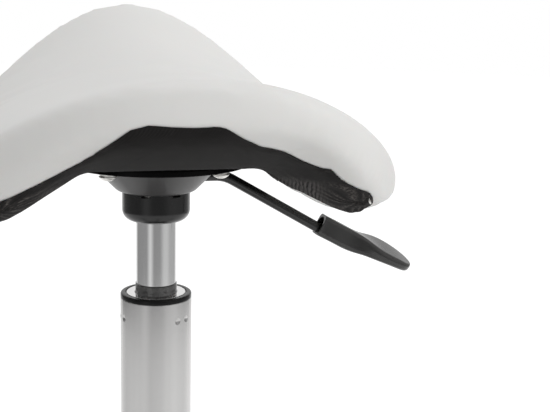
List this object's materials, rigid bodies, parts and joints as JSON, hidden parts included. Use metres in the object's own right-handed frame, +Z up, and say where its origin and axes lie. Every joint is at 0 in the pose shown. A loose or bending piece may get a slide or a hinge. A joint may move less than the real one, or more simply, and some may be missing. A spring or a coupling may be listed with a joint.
{
  "type": "saddle stool",
  "caption": "Height-adjustable saddle stool: upholstered saddle seat with black underside, gas-lift column with side release lever, round seat plate, five-star base on twin-wheel castors.",
  "frame": {"origin": "on the column axis at floor level, where the castor wheels stand", "axes": "+Z up along the column; -Y to the front, the narrower and lower end of the seat; +X to the side of the release lever"},
  "size_m": [0.5905, 0.5862, 0.5134],
  "materials": {
    "white_upholstery": "smooth grained coated fabric",
    "black_cloth": "woven underside cloth",
    "plywood": "sanded",
    "black_enamel": "gloss black enamel",
    "grey_enamel": "dark grey enamel",
    "zinc_steel": "zinc plated",
    "chrome": "polished",
    "satin_steel": "satin, brushed round the tube",
    "black_plastic": "fine texture",
    "gloss_black_plastic": "polished",
    "bearing_plastic": "natural nylon",
    "buffer_rubber": "moulded",
    "wheel_nylon": "moulded nylon"
  },
  "bodies": {
    "base": {"outer_tube": "satin_steel", "guide_bush": "gloss_black_plastic", "wiper_ring": "zinc_steel", "bearing_lower_race": "zinc_steel", "bearing_cage": "bearing_plastic", "base_hub": "satin_steel", "castor_sleeves": "zinc_steel", "base_arm_1": "satin_steel", "base_arm_2": "satin_steel", "base_arm_3": "satin_steel", "base_arm_4": "satin_steel", "base_arm_5": "satin_steel"},
    "spindle": {"piston_rod": "chrome", "piston": "bearing_plastic", "bearing_upper_race": "zinc_steel", "retaining_clip": "zinc_steel", "bump_stop": "buffer_rubber"},
    "seat": {"gas_cylinder": "chrome", "cylinder_guide": "bearing_plastic", "taper_socket": "zinc_steel", "dish_housing": "grey_enamel", "column_cap": "black_plastic", "seat_plate": "black_enamel", "mounting_screws": "zinc_steel", "screw_washers": "zinc_steel", "tee_nuts": "zinc_steel", "seat_board": "plywood", "seat_cushion": "white_upholstery", "underside_cloth": "black_cloth", "lever_bracket": "zinc_steel", "lever_pivot": "zinc_steel"},
    "lever": {"lever_rod": "black_enamel", "lever_grip": "black_plastic"},
    "release_pin": {"release_pin": "zinc_steel"},
    "castor_1": {"castor_housing_1": "black_plastic", "castor_stem_1": "zinc_steel", "castor_axle_1": "zinc_steel"},
    "castor_1_wheel_left": {"castor_wheel_left_1": "wheel_nylon"},
    "castor_1_wheel_right": {"castor_wheel_right_1": "wheel_nylon"},
    "castor_2": {"castor_housing_2": "black_plastic", "castor_stem_2": "zinc_steel", "castor_axle_2": "zinc_steel"},
    "castor_2_wheel_left": {"castor_wheel_left_2": "wheel_nylon"},
    "castor_2_wheel_right": {"castor_wheel_right_2": "wheel_nylon"},
    "castor_3": {"castor_housing_3": "black_plastic", "castor_stem_3": "zinc_steel", "castor_axle_3": "zinc_steel"},
    "castor_3_wheel_left": {"castor_wheel_left_3": "wheel_nylon"},
    "castor_3_wheel_right": {"castor_wheel_right_3": "wheel_nylon"},
    "castor_4": {"castor_housing_4": "black_plastic", "castor_stem_4": "zinc_steel", "castor_axle_4": "zinc_steel"},
    "castor_4_wheel_left": {"castor_wheel_left_4": "wheel_nylon"},
    "castor_4_wheel_right": {"castor_wheel_right_4": "wheel_nylon"},
    "castor_5": {"castor_housing_5": "black_plastic", "castor_stem_5": "zinc_steel", "castor_axle_5": "zinc_steel"},
    "castor_5_wheel_left": {"castor_wheel_left_5": "wheel_nylon"},
    "castor_5_wheel_right": {"castor_wheel_right_5": "wheel_nylon"}
  },
  "joints": [
    {"name": "swivel", "type": "hinge", "parent": "base", "child": "spindle", "pos_m": [0, 0, 0.07], "axis": [0, 0, 1], "continuous": true},
    {"name": "height", "type": "slide", "parent": "spindle", "child": "seat", "axis": [0, 0, 1], "range_m": [0, 0.2]},
    {"name": "lever_lift", "type": "hinge", "parent": "seat", "child": "lever", "pos_m": [0.024, 0, 0.399], "axis": [0, -1, 0], "range_deg": [0, 6], "stiffness_Nm_per_rad": 1.5, "springref_deg": -8.59},
    {"name": "release_pin_travel", "type": "slide", "parent": "seat", "child": "release_pin", "axis": [0, 0, -1], "range_m": [0, 0.0029]},
    {"name": "castor_1_swivel", "type": "hinge", "parent": "base", "child": "castor_1", "pos_m": [0, -0.265, 0.07], "axis": [0, 0, 1], "continuous": true},
    {"name": "castor_1_roll_left", "type": "hinge", "parent": "castor_1", "child": "castor_1_wheel_left", "pos_m": [0.00813, -0.28327, 0.025], "axis": [0.9135, 0.4067, 0], "continuous": true},
    {"name": "castor_1_roll_right", "type": "hinge", "parent": "castor_1", "child": "castor_1_wheel_right", "pos_m": [0.00813, -0.28327, 0.025], "axis": [0.9135, 0.4067, 0], "continuous": true},
    {"name": "castor_2_swivel", "type": "hinge", "parent": "base", "child": "castor_2", "pos_m": [0.25203, -0.08189, 0.07], "axis": [0, 0, 1], "continuous": true},
    {"name": "castor_2_roll_left", "type": "hinge", "parent": "castor_2", "child": "castor_2_wheel_left", "pos_m": [0.26321, -0.09847, 0.025], "axis": [0.829, 0.5592, 0], "continuous": true},
    {"name": "castor_2_roll_right", "type": "hinge", "parent": "castor_2", "child": "castor_2_wheel_right", "pos_m": [0.26321, -0.09847, 0.025], "axis": [0.829, 0.5592, 0], "continuous": true},
    {"name": "castor_3_swivel", "type": "hinge", "parent": "base", "child": "castor_3", "pos_m": [0.15576, 0.21439, 0.07], "axis": [0, 0, 1], "continuous": true},
    {"name": "castor_3_roll_left", "type": "hinge", "parent": "castor_3", "child": "castor_3_wheel_left", "pos_m": [0.147, 0.23236, 0.025], "axis": [-0.8988, -0.4384, 0], "continuous": true},
    {"name": "castor_3_roll_right", "type": "hinge", "parent": "castor_3", "child": "castor_3_wheel_right", "pos_m": [0.147, 0.23236, 0.025], "axis": [-0.8988, -0.4384, 0], "continuous": true},
    {"name": "castor_4_swivel", "type": "hinge", "parent": "base", "child": "castor_4", "pos_m": [-0.15576, 0.21439, 0.07], "axis": [0, 0, 1], "continuous": true},
    {"name": "castor_4_roll_left", "type": "hinge", "parent": "castor_4", "child": "castor_4_wheel_left", "pos_m": [-0.16293, 0.23306, 0.025], "axis": [-0.9336, -0.3584, 0], "continuous": true},
    {"name": "castor_4_roll_right", "type": "hinge", "parent": "castor_4", "child": "castor_4_wheel_right", "pos_m": [-0.16293, 0.23306, 0.025], "axis": [-0.9336, -0.3584, 0], "continuous": true},
    {"name": "castor_5_swivel", "type": "hinge", "parent": "base", "child": "castor_5", "pos_m": [-0.25203, -0.08189, 0.07], "axis": [0, 0, 1], "continuous": true},
    {"name": "castor_5_roll_left", "type": "hinge", "parent": "castor_5", "child": "castor_5_wheel_left", "pos_m": [-0.26048, -0.10002, 0.025], "axis": [0.9063, -0.4226, 0], "continuous": true},
    {"name": "castor_5_roll_right", "type": "hinge", "parent": "castor_5", "child": "castor_5_wheel_right", "pos_m": [-0.26048, -0.10002, 0.025], "axis": [0.9063, -0.4226, 0], "continuous": true}
  ],
  "couplings": [
    {"joint": "release_pin_travel", "follows": "lever_lift", "m_per_rad": 0.027}
  ]
}
